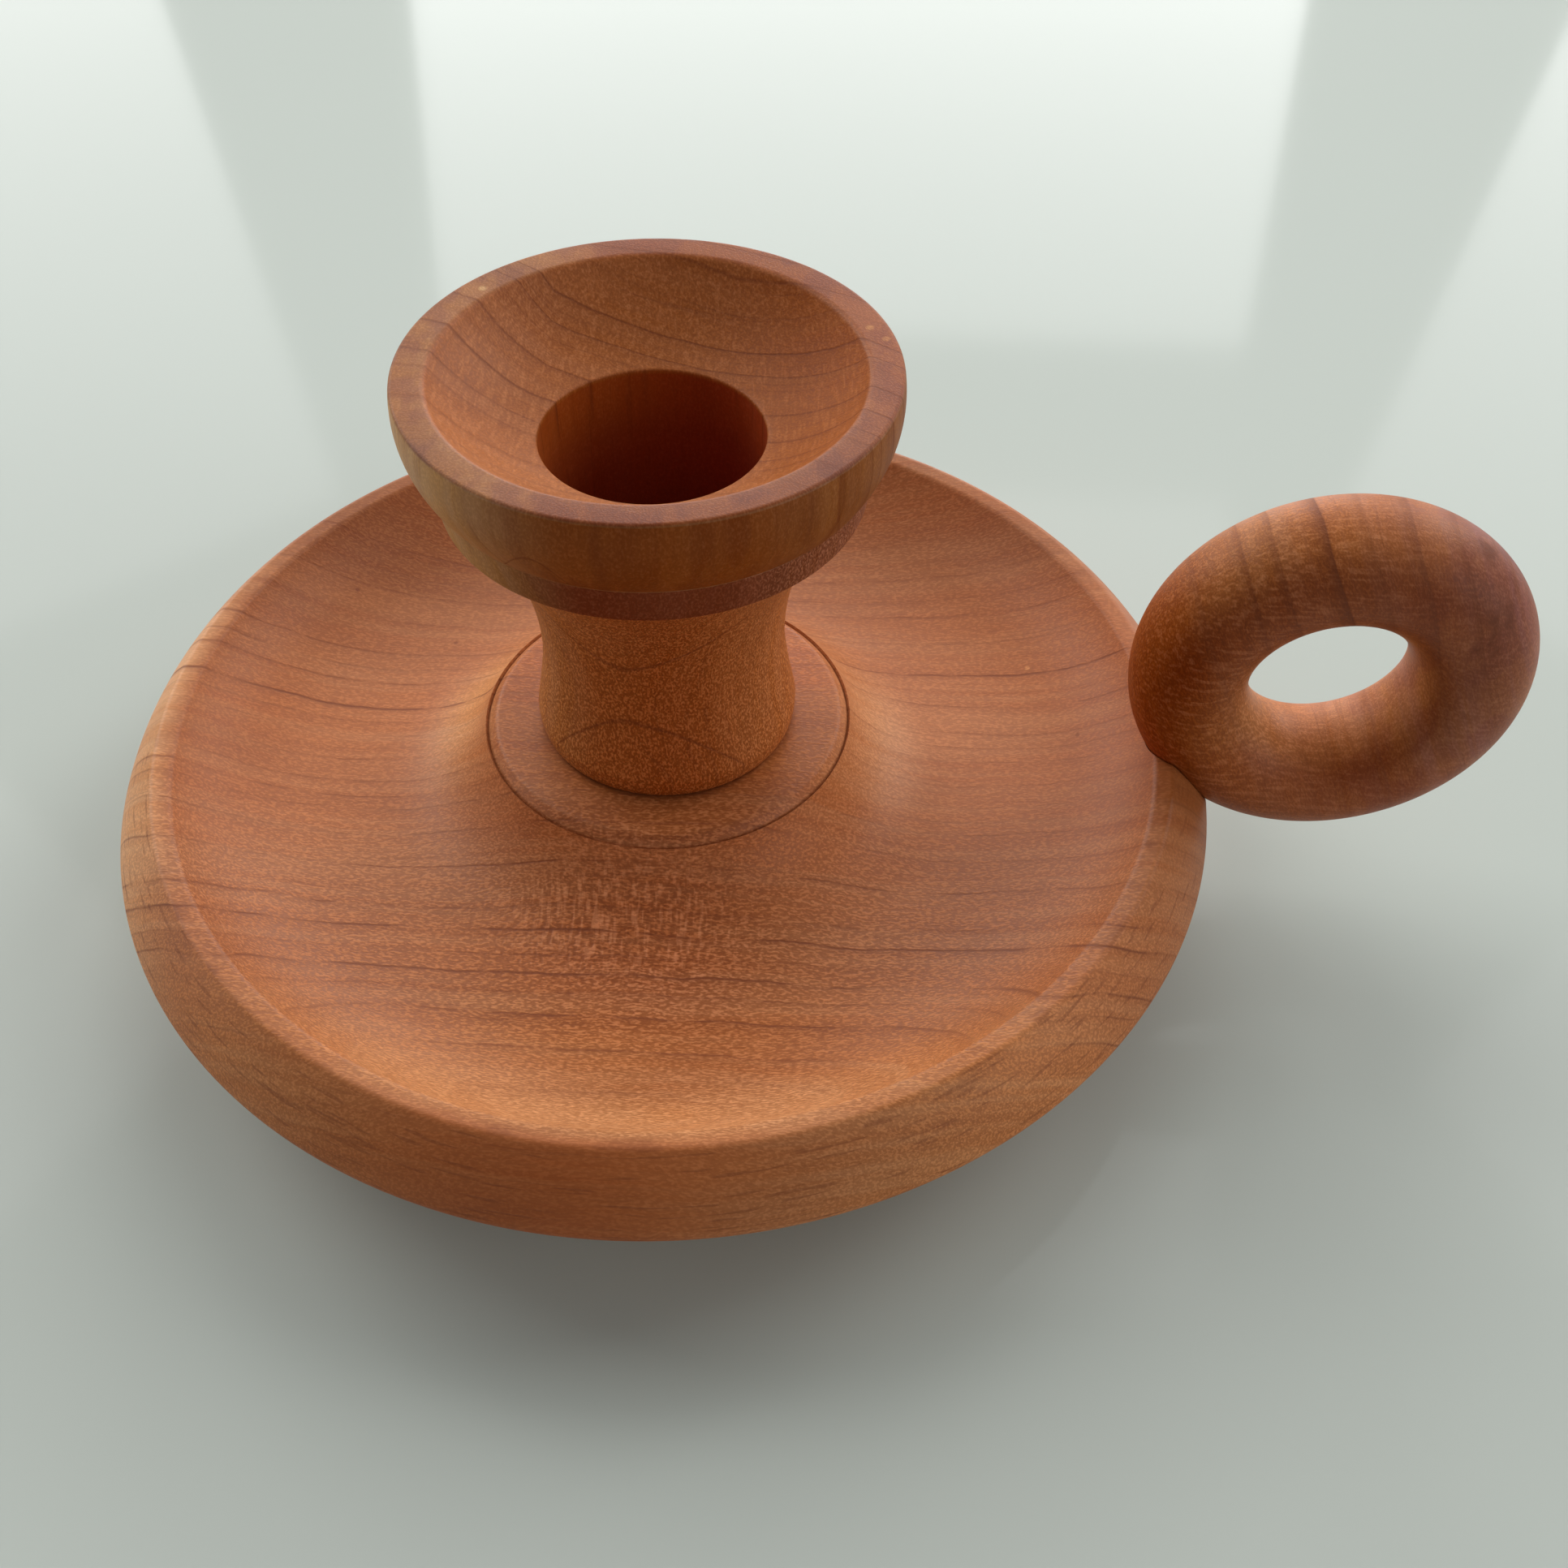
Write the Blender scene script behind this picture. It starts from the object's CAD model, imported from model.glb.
"""Looks of a turned wooden chamberstick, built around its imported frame.

The object's lengths are in millimetres until its meshes are made. The floor, camera and lamps are in metres.
"""

import math

import bpy
from mathutils import Matrix, Vector


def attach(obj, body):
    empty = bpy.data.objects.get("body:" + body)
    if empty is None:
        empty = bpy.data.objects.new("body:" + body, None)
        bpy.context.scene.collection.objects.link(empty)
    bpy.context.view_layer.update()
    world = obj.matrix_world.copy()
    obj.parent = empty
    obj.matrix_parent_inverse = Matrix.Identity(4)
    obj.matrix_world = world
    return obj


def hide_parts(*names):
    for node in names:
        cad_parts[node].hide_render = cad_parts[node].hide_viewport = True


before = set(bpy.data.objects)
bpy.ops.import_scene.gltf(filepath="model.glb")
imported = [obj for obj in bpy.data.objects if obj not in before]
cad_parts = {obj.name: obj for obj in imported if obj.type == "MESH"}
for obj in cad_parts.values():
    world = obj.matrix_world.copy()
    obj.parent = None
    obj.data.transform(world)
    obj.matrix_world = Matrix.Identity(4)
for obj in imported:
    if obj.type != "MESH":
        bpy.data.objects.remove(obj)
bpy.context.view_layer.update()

MM = 0.001

# Dish
DISH_R, EDGE_H = 65.0, 18.0
BEVEL_W, BEVEL_H, BEVEL_BULGE = 5.4, 7.8, 0.6
LAND_W, LAND_DROP, HOLLOW_DEPTH = 2.05, 0.35, 9.3
FOOT_R, FOOT_H = 38.0, 2.0
COLLAR_W, COLLAR_RISE, COLLAR_BEVEL = 5.2, 9.35, 0.9
GROOVE_DEPTH, GROOVE_W, COVE_W = 0.4, 0.5, 14.0
# Stem and cup
BORE_R, BORE_L, NECK_WALL = 11.7, 19.0, 2.05
STEM_H, FLARE_W, FLARE_H, TUCK_W, NECK_H = 46.6, 1.35, 2.7, 0.9, 12.5
FUNNEL_W, FUNNEL_D, FUNNEL_HOLLOW = 10.25, 7.75, 1.0
RIM_W, RIM_FALL = 3.3, 0.2
WALL_H, WALL_TAPER, WALL_BULGE = 9.3, 2.0, 1.0
STEP_W, STEP_H = 0.3, 0.3
BAND_H, BAND_TAPER, UNDER_W, UNDER_H = 4.1, 0.65, 2.0, 1.0
# Ring handle
RING_R, STOCK_W, STOCK_T = 15.5, 13.4, 14.8
SEAT_DEPTH, SEAT_TILT = 2.65, math.radians(48)
# Joints
TENON_R, TENON_L, END_CHAMFER = 8.0, 14.0, 0.6
PEG_R, PEG_IN_RING, PEG_IN_RIM, GLUE_GAP, END_GAP = 2.0, 5.5, 7.0, 0.1, 0.8
EDGE_ROUND = 0.45

# Heights above the table and radii that follow from them
RIM_H = EDGE_H + BEVEL_H
RIDGE_R = DISH_R - BEVEL_W
LIP_R = RIDGE_R - LAND_W
FLOOR_H = RIM_H - HOLLOW_DEPTH
COLLAR_H = FLOOR_H + COLLAR_RISE
NECK_R = BORE_R + NECK_WALL
FLARE_R = NECK_R + FLARE_W
COLLAR_R = FLARE_R + COLLAR_W
GROOVE_IN_R = COLLAR_R + COLLAR_BEVEL
GROOVE_OUT_R = GROOVE_IN_R + GROOVE_W
GROOVE_R = (GROOVE_IN_R + GROOVE_OUT_R) / 2
GROOVE_H = COLLAR_H - COLLAR_BEVEL
COVE_R = GROOVE_OUT_R + COVE_W
FUNNEL_R = BORE_R + FUNNEL_W
CUP_R = FUNNEL_R + RIM_W
TOP_H = COLLAR_H + STEM_H
MOUTH_H = TOP_H - RIM_FALL - FUNNEL_D
WALL_LOW = TOP_H - WALL_H
BAND_TOP = WALL_LOW - STEP_H
BAND_LOW = BAND_TOP - BAND_H
TENON_END = COLLAR_H - TENON_L

# The middle of the rim's slanted face, where the ring sits, and the middle of the ring
SEAT = Vector(((DISH_R + RIDGE_R) / 2, 0, (EDGE_H + RIM_H) / 2))
RING_REACH = RING_R + STOCK_W / 2 - SEAT_DEPTH
RING_CENTRE = SEAT + RING_REACH * Vector((math.cos(SEAT_TILT), 0, math.sin(SEAT_TILT)))

# Shares that shape the curves between named places
UNDER_PULL_SHARE = (0.74, 0.1)
FLAT_FLOOR_SHARE = 0.04
HOLLOW_PULL_SHARE = 0.7
COVE_PULL_SHARE = 0.72
NECK_PULL_SHARE = 0.7
CUP_COVE_SHARE = 0.62

# Steps along a curve, and round a turned piece
CURVE_STEPS, SHORT_STEPS, WALL_STEPS, FUNNEL_STEPS, ROUND_STEPS = 40, 12, 16, 20, 8
TURN_STEPS, HOLE_STEPS = 384, 128
RING_STEPS, STOCK_STEPS = 320, 112
SHARP = math.radians(32)


def blend(a, pull, b, t):
    return tuple((1 - t) ** 2 * p + 2 * t * (1 - t) * q + t ** 2 * r for p, q, r in zip(a, pull, b))


def along(a, pull, b, steps=CURVE_STEPS):
    """Corners of a curve from a to b that is drawn towards pull, without its two ends."""
    return [(blend(a, pull, b, i / steps), 0) for i in range(1, steps)]


def beside(a, b, bulge):
    """The pull of a curve from a to b that bulges this far to the right of the way."""
    way = (Vector(b) - Vector(a)).normalized()
    middle = (Vector(a) + Vector(b)) / 2
    return middle.x + 2 * bulge * way.y, middle.y - 2 * bulge * way.x


def rounded(corners):
    """An outline from corners, each a place and the distance over which it is rounded."""
    outline = []
    for i, (p, r) in enumerate(corners):
        if not r:
            outline.append(tuple(p))
            continue
        here = Vector(p)
        a = here + r * (Vector(corners[i - 1][0]) - here).normalized()
        b = here + r * (Vector(corners[(i + 1) % len(corners)][0]) - here).normalized()
        outline += [blend(a, here, b, k / ROUND_STEPS) for k in range(ROUND_STEPS + 1)]
    return outline


def dish_outline():
    foot_top, edge = (FOOT_R, FOOT_H), (DISH_R, EDGE_H)
    ridge, lip = (RIDGE_R, RIM_H), (LIP_R, RIM_H - LAND_DROP)
    floor_in, groove_out = (COVE_R, FLOOR_H), (GROOVE_OUT_R, GROOVE_H)
    floor_out = (COVE_R + (LIP_R - COVE_R) * FLAT_FLOOR_SHARE, FLOOR_H)
    under_pull = (FOOT_R + (DISH_R - FOOT_R) * UNDER_PULL_SHARE[0],
                  FOOT_H + (EDGE_H - FOOT_H) * UNDER_PULL_SHARE[1])
    hollow_pull = (floor_out[0] + (LIP_R - floor_out[0]) * HOLLOW_PULL_SHARE, FLOOR_H)
    cove_pull = (COVE_R - COVE_W * COVE_PULL_SHARE, FLOOR_H)
    return rounded([
        ((0, 0), 0), ((FOOT_R, 0), EDGE_ROUND), (foot_top, 0),
        *along(foot_top, under_pull, edge), (edge, EDGE_ROUND),
        *along(edge, beside(edge, ridge, BEVEL_BULGE), ridge, SHORT_STEPS),
        (ridge, EDGE_ROUND), (lip, EDGE_ROUND),
        *along(lip, hollow_pull, floor_out), (floor_out, 0), (floor_in, 0),
        *along(floor_in, cove_pull, groove_out), (groove_out, 0),
        ((GROOVE_R, GROOVE_H - GROOVE_DEPTH), 0), ((GROOVE_IN_R, GROOVE_H), 0),
        ((COLLAR_R, COLLAR_H), EDGE_ROUND), ((0, COLLAR_H), 0)])


def stem_outline():
    wall_low = (CUP_R - WALL_TAPER, WALL_LOW)
    band_top = (wall_low[0] - STEP_W, BAND_TOP)
    band_low = (band_top[0] - BAND_TAPER, BAND_LOW)
    under_in = (band_low[0] - UNDER_W, BAND_LOW - UNDER_H)
    foot_low, flare = (FLARE_R - TUCK_W, COLLAR_H), (FLARE_R, COLLAR_H + FLARE_H)
    neck = (NECK_R, COLLAR_H + NECK_H)
    rim_out, rim_in, mouth = (CUP_R, TOP_H), (FUNNEL_R, TOP_H - RIM_FALL), (BORE_R, MOUTH_H)
    neck_pull = (NECK_R, flare[1] + (neck[1] - flare[1]) * NECK_PULL_SHARE)
    cove_pull = (NECK_R, neck[1] + (under_in[1] - neck[1]) * CUP_COVE_SHARE)
    return rounded([
        ((0, TENON_END), 0), ((TENON_R - END_CHAMFER, TENON_END), 0),
        ((TENON_R, TENON_END + END_CHAMFER), 0), ((TENON_R, COLLAR_H), 0), (foot_low, 0),
        *along(foot_low, (FLARE_R, COLLAR_H), flare, SHORT_STEPS), (flare, 0),
        *along(flare, neck_pull, neck), (neck, 0),
        *along(neck, cove_pull, under_in), (under_in, 0),
        (band_low, EDGE_ROUND), (band_top, 0), (wall_low, 0),
        *along(wall_low, beside(wall_low, rim_out, WALL_BULGE), rim_out, WALL_STEPS),
        (rim_out, EDGE_ROUND), (rim_in, EDGE_ROUND),
        *along(rim_in, beside(mouth, rim_in, FUNNEL_HOLLOW), mouth, FUNNEL_STEPS),
        (mouth, EDGE_ROUND / 2), ((BORE_R, MOUTH_H - BORE_L), 0), ((0, MOUTH_H - BORE_L), 0)])


def solid(name, points, faces):
    """A smooth mesh object with its sharp edges marked, from points in millimetres."""
    mesh = bpy.data.meshes.new(name)
    mesh.from_pydata([[c * MM for c in p] for p in points], [], faces)
    mesh.shade_smooth()
    mesh.set_sharp_from_angle(angle=SHARP)
    piece = bpy.data.objects.new(name, mesh)
    bpy.context.scene.collection.objects.link(piece)
    return piece


def turned(name, outline, steps=TURN_STEPS):
    """A closed solid turned about +Z from an outline that starts and ends on the axis."""
    middle = outline[1:-1]
    rows = len(middle)
    points = [(0, 0, outline[0][1])]
    for s in range(steps):
        a = 2 * math.pi * s / steps
        points += [(r * math.cos(a), r * math.sin(a), z) for r, z in middle]
    points.append((0, 0, outline[-1][1]))
    top = len(points) - 1
    faces = []
    for s in range(steps):
        here, there = 1 + s * rows, 1 + (s + 1) % steps * rows
        faces.append((0, there, here))
        faces += [(here + i, there + i, there + i + 1, here + i + 1) for i in range(rows - 1)]
        faces.append((top, here + rows - 1, there + rows - 1))
    return solid(name, points, faces)


def ring(name, gap=0.0):
    """The ring handle, or the room that it takes with a gap all round."""
    points = []
    for s in range(RING_STEPS):
        a = 2 * math.pi * s / RING_STEPS
        for k in range(STOCK_STEPS):
            b = 2 * math.pi * k / STOCK_STEPS
            r = RING_R + (STOCK_W / 2 + gap) * math.cos(b)
            side = (STOCK_T / 2 + gap) * math.sin(b)
            points.append(RING_CENTRE + Vector((r * math.cos(a), side, r * math.sin(a))))
    faces = []
    for s in range(RING_STEPS):
        here, there = s * STOCK_STEPS, (s + 1) % RING_STEPS * STOCK_STEPS
        for k in range(STOCK_STEPS):
            n = (k + 1) % STOCK_STEPS
            faces.append((here + k, here + n, there + n, there + k))
    return solid(name, points, faces)


def cut(piece, tool):
    """Takes the tool's room out of the piece and deletes the tool."""
    work = piece.modifiers.new("cut", "BOOLEAN")
    work.operation, work.solver, work.object = "DIFFERENCE", "EXACT", tool
    mesh = bpy.data.meshes.new_from_object(piece.evaluated_get(bpy.context.evaluated_depsgraph_get()))
    piece.modifiers.clear()
    piece.data = mesh
    mesh.name = piece.name
    mesh.set_sharp_from_angle(angle=SHARP)
    bpy.data.objects.remove(tool)


def bore_out(piece, low, high, radius, place=Matrix()):
    """Takes a round hole out of the piece. It runs up +Z from low to high before it is put in its place."""
    tool = turned("room", [(0, low), (radius, low), (radius, high), (0, high)], HOLE_STEPS)
    tool.data.transform(place)
    cut(piece, tool)


dish = turned("turned_dish", dish_outline())
stem = turned("turned_stem", stem_outline())
handle = ring("turned_ring")
cut(dish, ring("seat_room", GLUE_GAP))
bore_out(dish, TENON_END - END_GAP, COLLAR_H + 1, TENON_R + GLUE_GAP)
toward_ring = (RING_CENTRE - SEAT).normalized()
peg_seat = (RING_CENTRE - (RING_R + STOCK_W / 2) * toward_ring) * MM
peg_place = Matrix.Translation(peg_seat) @ Matrix.Rotation(math.pi / 2 - SEAT_TILT, 4, "Y")
for piece in (dish, handle):
    bore_out(piece, -PEG_IN_RIM - END_GAP, PEG_IN_RING + END_GAP, PEG_R + GLUE_GAP, peg_place)

for piece, node, slot in (
        (dish, "dish", "dish_wood"),
        (stem, "candle_stem", "stem_wood"),
        (handle, "ring_handle", "ring_wood")):
    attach(piece, "root")
    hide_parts(node)


# A growth line reaches a share of its strength over the late wood, and the rest over a share of its width
LATE_WOOD, LATE_SHARE, STEEP_SHARE, LIGHT_SHARE = 1.0, 0.22, 0.7, 0.5
# A colour ramp holds 32 stops, and a line takes 4 of them. Some room is left before and behind its lines
LINES_PER_RAMP, RAMP_BELOW, RAMP_ABOVE = 7, 3, 2
WHITE, BLACK = (1, 1, 1), (0, 0, 0, 1)


class Nodes:
    """A material's node tree, built from sockets and plain numbers. Points are in millimetres."""

    def __init__(self, name):
        self.material = bpy.data.materials.new(name)
        self.material.use_nodes = True
        self.tree = self.material.node_tree
        self.shader = self.tree.nodes["Principled BSDF"]

    def add(self, kind, inputs=None, **settings):
        node = self.tree.nodes.new("ShaderNode" + kind)
        for key, value in settings.items():
            setattr(node, key, value)
        for key, value in (inputs or {}).items():
            self.feed(node.inputs[key], value)
        return node

    def feed(self, socket, value):
        if isinstance(value, bpy.types.NodeSocket):
            self.tree.links.new(value, socket)
        elif socket.type == "RGBA":
            socket.default_value = (*value, 1)
        else:
            socket.default_value = value

    def finish(self, piece):
        """Gives the piece this material alone."""
        piece.data.materials.clear()
        piece.data.materials.append(self.material)

    def place(self):
        """The point in the row frame, and its three coordinates."""
        at = self.add("TexCoord").outputs["Object"]
        point = self.add("VectorMath", {0: at, "Scale": 1 / MM}, operation="SCALE").outputs[0]
        return point, self.add("SeparateXYZ", {0: point}).outputs

    def math(self, operation, *values):
        node = self.add("Math", operation=operation)
        for socket, value in zip(node.inputs, values):
            self.feed(socket, value)
        return node.outputs[0]

    def total(self, *terms):
        """The sum of value * weight over pairs, and of plain values."""
        made = None
        for term in terms:
            value, weight = term if isinstance(term, tuple) else (term, 1)
            if made is None:
                made = self.math("MULTIPLY", value, weight)
            else:
                made = self.math("MULTIPLY_ADD", value, weight, made)
        return made

    def times(self, made, *values):
        """The product of values, so where they are masks, 1 only where all of them are."""
        for value in values:
            made = self.math("MULTIPLY", made, value)
        return made

    def reach(self, a, b):
        return self.math("SQRT", self.total((a, a), (b, b)))

    def step(self, value, low, high, first=0.0, last=1.0):
        """Goes smoothly from first to last as the value goes from low to high."""
        ends = {"Value": value, "From Min": low, "From Max": high, "To Min": first, "To Max": last}
        return self.add("MapRange", ends, interpolation_type="SMOOTHSTEP").outputs[0]

    def fade(self, value, low, high):
        """Goes smoothly from 1 to 0 as the value goes from low to high."""
        return self.step(value, low, high, 1, 0)

    def near(self, value, at, width):
        """1 where the value is at the place, and 0 a width away from it."""
        return self.fade(self.math("ABSOLUTE", self.math("SUBTRACT", value, at)), 0.0, width)

    def marks(self, point, spots):
        """1 at each spot (x, y, z, radius), and 0 away from all."""
        found = []
        for *centre, radius in spots:
            away = self.add("VectorMath", {0: point, 1: centre}, operation="DISTANCE").outputs["Value"]
            found.append(self.fade(away, radius * 0.4, radius))
        return self.total(*found)

    def noise(self, at, sizes, detail=1.0, rough=0.5):
        """Noise from 0 to 1 at three coordinates, with grains of these sizes along them."""
        scaled = [self.math("MULTIPLY", value, 1 / size) for value, size in zip(at, sizes)]
        where = self.add("CombineXYZ", dict(enumerate(scaled))).outputs[0]
        inputs = {"Vector": where, "Scale": 1.0, "Detail": detail, "Roughness": rough}
        return self.add("TexNoise", inputs).outputs["Fac"]

    def swing(self, *noise):
        """The same noise from -0.5 to 0.5."""
        return self.math("SUBTRACT", self.noise(*noise), 0.5)

    def mix(self, share, a, b, kind="MIX"):
        node = self.add("Mix", data_type="RGBA", blend_type=kind)
        for socket, value in zip((node.inputs[0], node.inputs[6], node.inputs[7]), (share, a, b)):
            self.feed(socket, value)
        return node.outputs[2]

    def lines(self, layer, rows, light_share=LIGHT_SHARE):
        """Dark growth lines in three channels. Each row is a layer, a width and three strengths.
        The wood is light again behind a line, after this share of its width."""
        found = None
        rows = sorted(rows)
        for start in range(0, len(rows), LINES_PER_RAMP):
            part = rows[start:start + LINES_PER_RAMP]
            low, high = part[0][0] - RAMP_BELOW, part[-1][0] + RAMP_ABOVE
            where = self.add("MapRange", {"Value": layer, "From Min": low, "From Max": high}).outputs[0]
            ramp = self.add("ValToRGB", {0: where})
            stops = ramp.color_ramp.elements
            stops[0].position, stops[0].color = 0, BLACK
            stops[1].position, stops[1].color = 1, BLACK
            for at, width, *strengths in part:
                steep = at - STEEP_SHARE * width
                late = [LATE_SHARE * strength for strength in strengths]
                for place, colour in (
                        (steep - LATE_WOOD, BLACK), (steep, (*late, 1)),
                        (at, (*strengths, 1)), (at + light_share * width, BLACK)):
                    stops.new((place - low) / (high - low)).color = colour
            found = ramp.outputs[0] if found is None else self.mix(1, found, ramp.outputs[0], "ADD")
        return self.add("SeparateColor", {0: found}).outputs


# Sizes of a wood's figures along its fibres, across its growth layers and around its pith
DASHES, SPECKS, FIBRES, RAYS = (0.85, 0.27, 0.27), (0.36, 0.26, 0.26), (8, 0.34, 0.34), (0.45, 3.4, 0.4)
BANDS, CLOUDS, HUES = (70, 1.9, 50), (26, 10, 18), (38, 16, 30)
THIN_LINES, THIN_BREAKS, THIN_HALF_WIDTH = (110, 1.15, 80), (6, 0.7, 9), 0.022
# A darker place in the wood loses more green and blue than red
SHADE_DEPTHS = (1.0, 1.2, 1.4)
# Colour of the light that rays and dashes throw back
GLINT = (0.72, 0.43, 0.28)
DARKEST = 0.85


def wood(n, grain, colours, line, tints=(), fleck=0.2, rays=0.1, gloss=0.3, dashes=DASHES):
    """Finishes a wood. grain is its coordinates along the fibres, across the growth layers, and around the pith.
    colours are two hues of the wood and that of its dark lines, and tints are pairs of a share and a colour
    to multiply by."""
    # Short light dashes on a slightly darker ground
    dash = n.step(n.noise(grain, dashes), 0.42, 0.66, -0.35, 0.65)
    fine = n.times(n.total(dash, (n.swing(grain, SPECKS), 0.7)), fleck)
    fibre = n.swing(grain, FIBRES, 2.0, 0.6)
    ray = n.times(n.step(n.noise(grain, RAYS), 0.42, 0.7, -0.12, 0.34), rays)
    band = n.swing(grain, BANDS, 2.0, 0.65)
    cloud = n.swing(grain, CLOUDS, 2.0)
    # Thin broken lines run where slow noise passes its middle
    thin = n.fade(n.math("ABSOLUTE", n.swing(grain, THIN_LINES)), 0.0, THIN_HALF_WIDTH)
    thin = n.times(thin, n.step(n.noise(grain, THIN_BREAKS), 0.45, 0.62))

    shade = n.total((ray, 0.75), (fine, 0.9), (fibre, 0.2), (band, 0.42), (cloud, 0.28))
    hue = n.step(n.total((n.noise(grain, HUES, 2.0), 0.7), (band, 0.9), 0.15), 0.34, 0.66)
    paint = n.mix(hue, colours[0], colours[1])
    for share, tint in tints:
        paint = n.mix(1, paint, n.mix(share, WHITE, tint), "MULTIPLY")
    shades = {i: n.total((shade, depth), 1.0) for i, depth in enumerate(SHADE_DEPTHS)}
    paint = n.mix(1, paint, n.add("CombineColor", shades).outputs[0], "MULTIPLY")
    paint = n.mix(n.math("MAXIMUM", n.total((ray, 0.3), (fine, 0.16)), 0.0), paint, GLINT)
    dark = n.math("MINIMUM", n.total(line, (thin, 0.26)), DARKEST)
    paint = n.mix(dark, paint, colours[2])

    n.feed(n.shader.inputs["Base Color"], paint)
    n.feed(n.shader.inputs["Roughness"], n.total((ray, 0.2), (fine, 0.2), (dark, 0.1), 0.5))
    n.feed(n.shader.inputs["Specular IOR Level"], gloss)
    height = n.total((ray, 0.03), (fine, 0.03), (dark, -0.02))
    bump = n.add("Bump", {"Strength": 1.0, "Distance": MM, "Height": height})
    n.feed(n.shader.inputs["Normal"], bump.outputs["Normal"])


DISH_COLOURS = ((0.44, 0.134, 0.033), (0.43, 0.148, 0.046), (0.2, 0.047, 0.011))
# The pith's y and z, and the radius at which turns round it are measured
DISH_PITH, PITH_TURN_R = (-75.0, -6.0), 60.0
# Growth lines on the hollow's floor: y, width, and strengths at the left, the middle and the right
DISH_LINES = (
    (35, 0.5, 0.4, 0.4, 0.3), (31, 0.3, 0.25, 0.2, 0.35), (28, 0.45, 0.4, 0.3, 0.4),
    (23, 0.35, 0.3, 0.2, 0.3), (17, 0.4, 0.45, 0.3, 0.75), (14, 0.3, 0.35, 0.2, 0.2),
    (11.5, 0.35, 0.5, 0.3, 0.35), (7, 0.45, 0.75, 0.3, 0.3), (4.5, 0.3, 0.35, 0.2, 0.3),
    (2, 0.3, 0.3, 0.2, 0.35), (-2, 0.3, 0.35, 0.2, 0.3), (-5.5, 0.3, 0.4, 0.3, 0.3),
    (-8, 0.3, 0.5, 0.4, 0.35), (-10, 0.3, 0.4, 0.5, 0.35), (-14, 0.3, 0.45, 0.5, 0.35),
    (-19, 0.3, 0.45, 0.65, 0.5), (-24.5, 0.3, 0.7, 0.35, 0.4), (-27.5, 0.35, 0.75, 0.8, 0.75),
    (-30.5, 0.25, 0.3, 0.45, 0.3), (-33, 0.35, 0.7, 0.8, 0.55), (-35.5, 0.3, 0.3, 0.5, 0.4),
    (-38.5, 0.3, 0.4, 0.7, 0.55), (-42.5, 0.3, 0.3, 0.5, 0.3), (-47, 0.3, 0.45, 0.4, 0.25))
# Small dark spots, and one pale one: x, y, z and radius
DISH_DOTS = ((50, 4.8, FLOOR_H + 2.6, 0.45), (-44.5, 25.8, FLOOR_H + 3.4, 0.4), (-30.6, 19.8, FLOOR_H, 0.4))
DISH_NICK = (44.6, 17.6, FLOOR_H + 1.7, 0.45)


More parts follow.
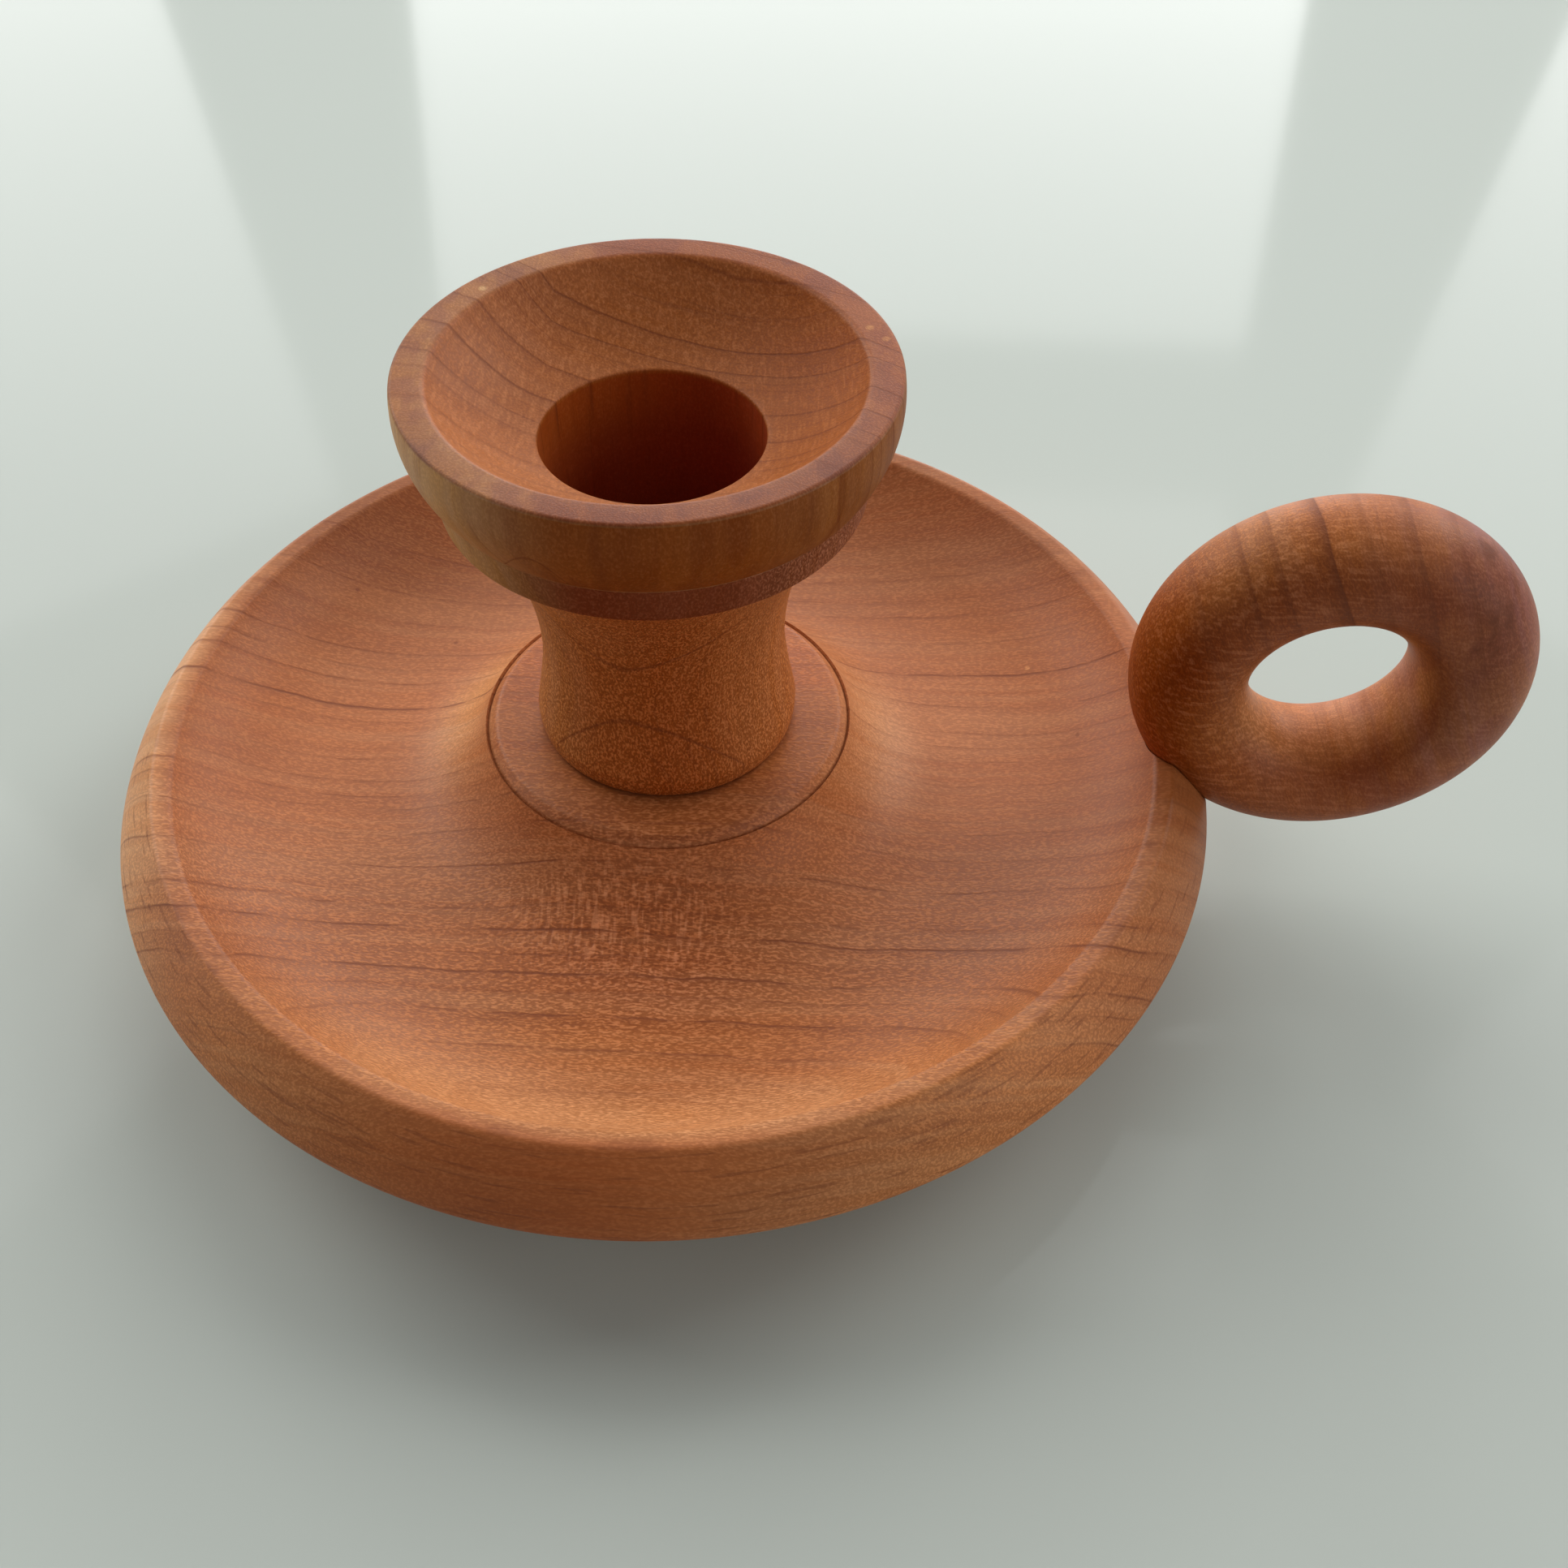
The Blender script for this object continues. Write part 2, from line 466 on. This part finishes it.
def dish_wood():
    n = Nodes("dish_wood")
    point, (x, y, z) = n.place()
    depth, rise = n.math("SUBTRACT", y, DISH_PITH[0]), n.math("SUBTRACT", z, DISH_PITH[1])
    radius = n.reach(depth, rise)
    around = n.times(n.math("ARCTAN2", rise, depth), PITH_TURN_R)
    sway = n.swing((x, radius, around), (22, 18, 30), 3.0)
    layer = n.total(radius, (sway, 3.0))
    off_axis = n.reach(x, y)
    front_wall = n.times(n.step(off_axis, 46.0, 54.0), n.fade(y, -50.0, -34.0))

    # Growth lines, in patches
    left, right = n.fade(x, -30.0, -8.0), n.step(x, 8.0, 30.0)
    middle = n.math("SUBTRACT", 1.0, n.math("ADD", left, right))
    rows = [(math.hypot(at - DISH_PITH[0], FLOOR_H - DISH_PITH[1]), *row) for at, *row in DISH_LINES]
    line = n.total(*(n.times(a, b) for a, b in zip(n.lines(layer, rows), (left, middle, right))))
    patchy = n.step(n.noise((x, layer, around), (7, 1.3, 30), 2.0, 0.6), 0.36, 0.6, 0.15, 1.2)
    line = n.times(line, n.times(patchy, n.total((front_wall, -0.8), 1.0)))
    # Other dark places: dots, the groove, and the seam round the stem
    dots = n.marks(point, DISH_DOTS)
    groove = n.times(n.near(off_axis, GROOVE_R, 0.34), n.step(z, GROOVE_H - 2, GROOVE_H - 1))
    seam = n.times(n.fade(off_axis, FLARE_R - 0.7, FLARE_R + 0.25), n.step(z, COLLAR_H - 1, COLLAR_H - 0.5))
    line = n.total((line, 1.25), (dots, 0.7), (groove, 0.5), (seam, 0.6))
    # Dashes on the front of the rim's slanted face
    bevel = n.step(off_axis, LIP_R - 0.5, RIDGE_R + 0.5)
    dashes = n.times(bevel, n.step(n.noise((x, z, y), (8, 0.38, 4)), 0.6, 0.69))
    line = n.total(line, (n.times(dashes, n.fade(y, -20.0, 5.0)), 0.42))

    # Places whose colour differs
    collar = n.fade(off_axis, COLLAR_R, COLLAR_R + 1.2)
    collar_front = n.times(collar, n.fade(y, -16.0, -8.0))
    collar_left = n.times(collar, n.near(x, -13.0, 9.0), n.fade(y, -13.0, -7.0))
    bevel_end = n.times(bevel, n.fade(x, -62.0, -46.0), n.fade(y, 8.0, 34.0))
    bevel_front = n.times(bevel, n.near(x, -4.0, 42.0))
    bevel_right = n.times(bevel, n.near(x, 42.0, 16.0))
    back = n.step(y, 12.0, 38.0)
    shoulder = n.times(n.near(off_axis, 26.0, 7.0), n.near(y, 5.0, 19.0))
    side_wall = n.times(n.step(off_axis, 44.0, 52.0), n.near(y, 4.0, 34.0), n.fade(bevel, 0.0, 1.0))
    right_floor = n.times(n.step(x, 18.0, 30.0), n.near(y, -4.0, 26.0))
    nick = n.marks(point, [DISH_NICK])
    # Three ovals on the floor in front of the collar, where the figure is strongest
    close = n.fade(n.reach(n.total(x, 1.0), n.total((y, 1.5), 46.0)), 3.0, 22.0)
    below = n.fade(n.reach(n.total((x, 0.5), 4.5), n.total(y, 40.5)), 2.0, 10.0)
    figured = n.fade(n.reach(n.total((x, 0.5), 1.8), n.total(y, 27.0)), 1.0, 11.0)
    tints = (
        (collar, (0.87, 0.73, 0.42)),
        (collar_front, (0.92, 1.02, 1.6)),
        (collar_left, (1.13, 1.19, 1.24)),
        (bevel_end, (1.54, 2.15, 2.9)),
        (bevel_front, (0.68, 0.44, 0.27)),
        (bevel_right, (1.12, 1.14, 1.2)),
        (back, (0.82, 0.78, 0.7)),
        (n.times(back, n.fade(x, -20.0, 5.0)), (0.87, 0.79, 0.62)),
        (side_wall, (0.95, 0.88, 0.74)),
        (right_floor, (0.92, 0.88, 0.82)),
        (front_wall, (1.1, 1.18, 1.12)),
        (n.times(front_wall, n.near(x, 5.0, 36.0)), (1.23, 1.43, 1.9)),
        (close, (0.85, 0.76, 0.78)),
        (figured, (1.2, 1.25, 1.25)),
        (below, (1.08, 1.12, 1.1)),
        (nick, (1.5, 2.0, 2.6)),
        (n.times(shoulder, n.fade(x, -4.0, 4.0)), (1.36, 1.85, 2.4)),
        (n.times(shoulder, n.step(x, -4.0, 4.0)), (1.22, 1.52, 1.95)))
    fleck = n.total(
        (n.fade(y, -35.0, 0.0), 0.25), (close, 0.2), (figured, -0.12), (collar, 0.08),
        (bevel, -0.16), (bevel_front, -0.2), 0.28)
    wood(n, (x, layer, around), DISH_COLOURS, line, tints, fleck, n.total((figured, 1.15), 0.08),
         dashes=(0.62, 0.26, 0.26))
    n.finish(dish)


STEM_COLOURS = ((0.375, 0.104, 0.0185), (0.35, 0.103, 0.025), (0.14, 0.028, 0.0055))
# Growth lines of the cup: layer, width and strength
STEM_LINES = (
    (26.8, 0.35, 0.5), (23.5, 0.35, 0.5), (20.5, 0.3, 0.2), (16.85, 0.3, 0.7), (15.4, 0.3, 0.2),
    (14.1, 0.3, 0.6), (12.3, 0.25, 0.3), (8.95, 0.35, 0.65), (6.9, 0.3, 0.2), (4.6, 0.4, 0.7),
    (1.05, 0.3, 0.55), (-1.1, 0.6, 0.4), (-6.5, 0.8, 0.35), (-11, 0.6, 0.3))
# Left of this x the cup's layers are nearly level, and right of it they fall
LAYERS_BEND = -12.0
NECK_LAYER = -12.0
# An arch on the front of the cup's wall: its middle's x, half of its width, its height and its foot's z
ARCH_X, ARCH_W, ARCH_H, ARCH_Z = -8.6, 3.8, 4.8, 66.8
# Pale dents in the rim: x and y
RIM_NICKS, NICK_R = ((21.6, 8.6), (23.3, 6.5), (-18.8, 13.5)), 0.6


def stem_wood():
    n = Nodes("stem_wood")
    point, (x, y, z) = n.place()
    off_axis = n.reach(x, y)

    # Places that are told apart
    rim = n.times(n.step(z, TOP_H - 0.4, TOP_H - 0.1), n.step(off_axis, FUNNEL_R - 0.5, FUNNEL_R - 0.1))
    outside = n.step(off_axis, 17.0, 18.5)
    band = n.times(n.step(z, BAND_LOW - 0.4, BAND_LOW), n.fade(z, BAND_TOP - 0.1, BAND_TOP + 0.1), outside)
    wall = n.times(n.step(z, WALL_LOW - 0.4, WALL_LOW), n.fade(z, TOP_H - 0.4, TOP_H - 0.1),
                   n.step(off_axis, FUNNEL_R, FUNNEL_R + 1.5))
    funnel = n.times(n.step(z, MOUTH_H - 0.2, MOUTH_H + 0.3), n.fade(off_axis, FUNNEL_R - 0.4, FUNNEL_R))
    bore = n.times(n.fade(z, MOUTH_H - 0.6, MOUTH_H), n.fade(off_axis, BORE_R + 0.1, BORE_R + 0.4))
    neck = n.fade(z, TOP_H - 17.0, TOP_H - 15.5)
    neck_skin = n.times(neck, n.step(off_axis, BORE_R + 0.2, BORE_R + 0.6))
    right_side, right_end = n.step(x, -23.0, -4.0), n.step(x, 4.0, 16.0)
    front_side = n.fade(y, -16.0, -4.0)
    behind, ahead = n.step(y, 2.0, 12.0), n.fade(y, 2.0, 12.0)
    wall_ahead, band_ahead, rim_front = n.times(wall, ahead), n.times(band, ahead), n.times(rim, front_side)
    rough_end = n.times(band_ahead, n.step(x, 8.0, 17.0))
    patch = n.step(n.noise((x, y, z), (4, 7, 9), 2.0), 0.45, 0.58)
    smear = n.step(n.noise((x, y, z), (2.6, 2.6, 30), 2.0), 0.42, 0.6)
    nicks = n.marks(point, [(*spot, TOP_H, NICK_R) for spot in RIM_NICKS])

    # Growth lines of the cup
    beyond = n.math("SUBTRACT", x, LAYERS_BEND)
    fall = n.math("MAXIMUM", beyond, 0.0)
    climb = n.times(n.math("MINIMUM", beyond, 0.0), n.math("MAXIMUM", y, 0.0))
    sway = n.swing((x, y, z), (14, 14, 60), 2.0)
    layer = n.total(y, (n.times(fall, fall), 0.0095), (climb, 0.03), (sway, 1.6))
    cup_line = n.lines(layer, [(*row, 0, 0) for row in STEM_LINES])[0]
    # One layer meets the front of the neck high and low
    front = n.total(y, (x, 0.04), (n.times(x, x), -0.025), (z, 0.052), (sway, 0.4))
    neck_line = n.near(front, NECK_LAYER, 0.085)
    low = n.fade(z, 58.0, 63.0)
    # Marks on the front of the wall: an arch left of its middle, a line at its right and a wide dark one
    wall_front = n.times(wall, front_side)
    across = n.times(n.math("SUBTRACT", x, ARCH_X), 1 / ARCH_W)
    arch = n.total(z, (n.math("POWER", across, 2.0), ARCH_H))
    line = n.total(
        n.times(cup_line, n.math("SUBTRACT", 1.0, low)), n.times(neck_line, n.times(low, 0.5)),
        (n.times(wall_front, n.near(arch, ARCH_Z, 0.3)), 0.5),
        (n.times(wall_front, n.near(x, 19.3, 0.25)), 0.4),
        (n.times(wall_front, n.near(x, -2.2, 1.2)), 0.3))
    tints = (
        (rim, (0.78, 0.64, 0.43)),
        (n.times(rim, n.fade(x, -14.0, -4.0)), (1.14, 1.64, 2.5)),
        (rim_front, (0.76, 0.76, 0.94)),
        (rim, (1.06, 1.08, 1.04)),
        (n.times(rim_front, n.near(x, -12.0, 9.0)), (1.22, 1.3, 1.3)),
        (n.times(rim, patch), (0.8, 0.72, 0.86)),
        (n.times(funnel, right_end), (0.9, 0.75, 0.3)),
        (funnel, (1.0, 1.04, 1.04)),
        (n.times(funnel, front_side), (1.0, 1.05, 1.1)),
        (wall_ahead, (1.42, 2.6, 4.4)),
        (n.times(wall_ahead, right_side), (0.461, 0.207, 0.0725)),
        (n.times(wall, smear), (0.86, 0.8, 0.78)),
        (n.times(wall_ahead, n.step(x, 10.0, 21.0)), (1.2, 1.65, 2.9)),
        (n.times(n.math("ADD", wall, band), behind), (0.92, 1.15, 2.2)),
        (band_ahead, (1.1, 1.9, 2.9)),
        (n.times(band_ahead, n.step(x, -18.0, -4.0)), (0.41, 0.132, 0.073)),
        (n.times(band_ahead, n.step(x, -3.0, 5.0)), (1.1, 1.4, 2.2)),
        (rough_end, (1.4, 2.0, 2.6)),
        (bore, (0.79, 0.4, 0.5)),
        (n.times(bore, n.step(x, -2.0, 8.0)), (0.96, 0.8, 1.1)),
        (n.times(bore, n.step(z, 54.0, 62.0)), (1.1, 1.32, 0.66)),
        (n.times(bore, n.fade(x, -7.0, 2.0)), (1.06, 1.24, 1.0)),
        (neck, (1.08, 1.1, 1.0)),
        (n.times(neck_skin, n.fade(x, -12.0, -5.0)), (1.02, 1.26, 1.55)),
        (n.times(neck_skin, n.step(x, 7.0, 12.0)), (1.02, 1.06, 1.15)),
        (n.times(neck_skin, n.near(x, 2.5, 9.0)), (0.87, 0.72, 0.5)),
        (n.times(neck_skin, n.fade(z, 26.0, 31.0)), (0.96, 0.9, 0.75)),
        (nicks, (1.5, 2.2, 3.2)))
    fleck = n.total((neck_skin, 0.42), (bore, -0.15), (rough_end, 0.5), (wall, -0.1), 0.27)
    gloss = n.total(
        (n.times(wall, right_side), -0.13), (n.times(funnel, right_end), -0.1),
        (n.times(band, right_side), -0.1), 0.2)
    wood(n, (z, layer, x), STEM_COLOURS, line, tints, fleck, n.total((funnel, 0.3), 0.15), gloss,
         (0.36, 0.24, 0.24))
    n.finish(stem)


RING_COLOURS = ((0.41, 0.118, 0.0275), (0.38, 0.119, 0.042), (0.16, 0.038, 0.012))
# Growth lines of the ring: layer, width and strength
RING_LINES = (
    (80, 1.4, 0.3), (86.1, 1.4, 0.45), (89.8, 1.4, 0.5), (95.2, 1.7, 0.8), (99.5, 1.4, 0.3),
    (104.4, 1.7, 0.45), (109, 1.4, 0.3))
RING_LIGHT_SHARE = 0.1
# The darker place on the ring: x, y, z and radius of its spots
RING_BLOTCH = (
    (86.7, -2.0, 55.2, 2.4), (89.1, -4.3, 52.2, 2.8), (88.6, -6.2, 49.0, 2.6), (88.0, -7.4, 46.6, 2.2))


def ring_wood():
    n = Nodes("ring_wood")
    point, (x, y, z) = n.place()
    sway = n.swing((x, y, z), (14, 20, 40), 2.0)
    layer = n.total(x, (z, 0.45), (sway, 2.5))
    found = n.lines(layer, [(*row, 0, 0) for row in RING_LINES], RING_LIGHT_SHARE)[0]
    blotch = n.times(n.marks(point, RING_BLOTCH), n.step(n.noise((x, y, z), (2, 2, 3), 2.0), 0.4, 0.65))
    line = n.total(n.times(found, n.step(z, 30.0, 48.0, 0.3, 1.0)), (blotch, 0.75))

    # Places whose colour differs. The hub is the ring's own axis
    hub = n.reach(n.total(x, -RING_CENTRE.x), n.total(z, -RING_CENTRE.z))
    left, right, low = n.fade(x, 54.0, 66.0), n.step(x, 80.0, 90.0), n.fade(z, 40.0, 50.0)
    left_rim = n.times(n.step(hub, 17.0, 21.5), n.fade(x, 62.0, 70.0))
    top_right = n.times(n.step(z, 48.0, 52.0), n.step(x, 70.0, 77.0))
    face = n.times(n.fade(y, -7.0, -3.8), n.step(z, 30.0, 45.0))
    inside = n.times(n.fade(hub, 9.3, 12.0), n.math("MAXIMUM", n.fade(z, 28.0, 40.0), n.step(x, 78.0, 82.0)))
    edge = n.times(n.near(hub, 11.2, 2.2), n.step(x, 70.0, 80.0), n.fade(y, -3.0, -1.0))
    patch = n.step(n.noise((x, y, z), (5, 5, 7), 2.0), 0.44, 0.58)
    tints = (
        (left, (0.85, 0.62, 0.3)),
        (left_rim, (1.14, 1.4, 1.7)),
        (n.near(x, 60.0, 10.0), (0.97, 0.92, 0.62)),
        (n.times(left, low), (0.86, 0.76, 0.5)),
        (n.times(n.near(x, 66.0, 9.0), n.step(z, 38.0, 46.0)), (0.96, 0.87, 0.7)),
        (n.fade(z, 26.0, 32.0), (0.95, 0.8, 0.64)),
        (n.step(z, 53.0, 58.0), (1.1, 1.2, 1.22)),
        (top_right, (0.86, 0.82, 0.9)),
        (face, (0.78, 0.65, 0.54)),
        (inside, (1.22, 1.52, 1.55)),
        (edge, (0.88, 0.76, 0.48)),
        (right, (0.92, 1.05, 1.75)),
        (n.times(right, n.step(z, 44.0, 54.0)), (0.84, 0.79, 0.98)),
        (n.times(n.step(x, 72.0, 84.0), patch), (0.86, 0.78, 0.86)))
    fleck, rays = n.step(x, 62.0, 84.0, 0.34, 0.24), n.step(x, 62.0, 84.0, 0.75, 0.35)
    gloss = n.total((n.times(n.fade(x, 56.0, 70.0), low), -0.13), 0.2)
    wood(n, (z, layer, y), RING_COLOURS, line, tints, fleck, rays, gloss, (0.42, 0.24, 0.24))
    n.finish(handle)


PEG_COLOURS = ((0.55, 0.32, 0.15), (0.52, 0.3, 0.15), (0.3, 0.15, 0.06))


def dowel_wood():
    n = Nodes("dowel_wood")
    _, (x, y, z) = n.place()
    wood(n, (n.total(x, z), n.total(z, (x, -1.0)), y), PEG_COLOURS, 0.0)
    n.finish(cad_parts["ring_dowel"])


dish_wood()
stem_wood()
ring_wood()
dowel_wood()

# Floor
FLOOR_HALF = 3
FLOOR_FINISH = {"Base Color": (0.52, 0.565, 0.52), "Roughness": 0.08, "IOR": 1.17}
floor_mesh = bpy.data.meshes.new("floor")
floor_mesh.from_pydata([(x * FLOOR_HALF, y * FLOOR_HALF, 0) for x, y in ((-1, -1), (1, -1), (1, 1), (-1, 1))],
                       [], [(0, 1, 2, 3)])
floor = bpy.data.objects.new("floor", floor_mesh)
bpy.context.scene.collection.objects.link(floor)
floor_nodes = Nodes("floor")
for key, value in FLOOR_FINISH.items():
    floor_nodes.feed(floor_nodes.shader.inputs[key], value)
floor_nodes.finish(floor)

# Camera, at the photograph's viewing angle. It looks down from its place, and is then turned about +Z
SENSOR_W, LENS, CLIP_START = 36, 36.9, 0.01
CAMERA_PLACE = (0.01394, -0.13748, 0.15988)
CAMERA_TURN, CAMERA_DOWN, CAMERA_ROLL = 2.2, 46.98, 0.89
camera_data = bpy.data.cameras.new("camera")
camera = bpy.data.objects.new("camera", camera_data)
bpy.context.scene.collection.objects.link(camera)
camera_data.sensor_width = SENSOR_W
camera_data.lens = LENS
camera_data.clip_start = CLIP_START
camera.matrix_world = (
    Matrix.Rotation(math.radians(CAMERA_TURN), 4, "Z")
    @ Matrix.Translation(CAMERA_PLACE)
    @ Matrix.Rotation(math.radians(90 - CAMERA_DOWN), 4, "X")
    @ Matrix.Rotation(math.radians(CAMERA_ROLL), 4, "Z"))
bpy.context.scene.camera = camera
bpy.context.scene.view_settings.view_transform = "Standard"

# Light
WORLD_STRENGTH = 0.21
LAMP_SIZE, LAMP_DISTANCE, LAMP_AIM = 1.3, 2.4, Vector((0.01, 0, 0.03))
# Name, azimuth, elevation and power. Azimuth 90 is behind the object, seen from the camera
LAMPS = (
    ("back_low", 90, 14, 22.5),
    ("back_high", 90, 50, 12.9),
    ("back_left", 130, 20, 16.5),
    ("left_high", 150, 38, 17.8),
    ("left_low", 180, 8, 8.6),
    ("back_right", 50, 20, 17.2),
    ("right_high", 30, 38, 16.1),
    ("right_front", 335, 18, 12.3))
world = bpy.data.worlds.new("world")
bpy.context.scene.world = world
world.use_nodes = True
background = world.node_tree.nodes["Background"].inputs
background["Color"].default_value = (1, 1, 1, 1)
background["Strength"].default_value = WORLD_STRENGTH


def lamp(name, azimuth, elevation, power):
    """A square soft lamp that points at the object's middle."""
    data = bpy.data.lights.new(name, "AREA")
    data.shape, data.size, data.energy = "SQUARE", LAMP_SIZE, power
    a, e = math.radians(azimuth), math.radians(elevation)
    away = Vector((math.cos(e) * math.cos(a), math.cos(e) * math.sin(a), math.sin(e)))
    made = bpy.data.objects.new(name, data)
    bpy.context.scene.collection.objects.link(made)
    made.location = LAMP_AIM + away * LAMP_DISTANCE
    made.rotation_euler = away.to_track_quat("Z", "Y").to_euler()


for row in LAMPS:
    lamp(*row)
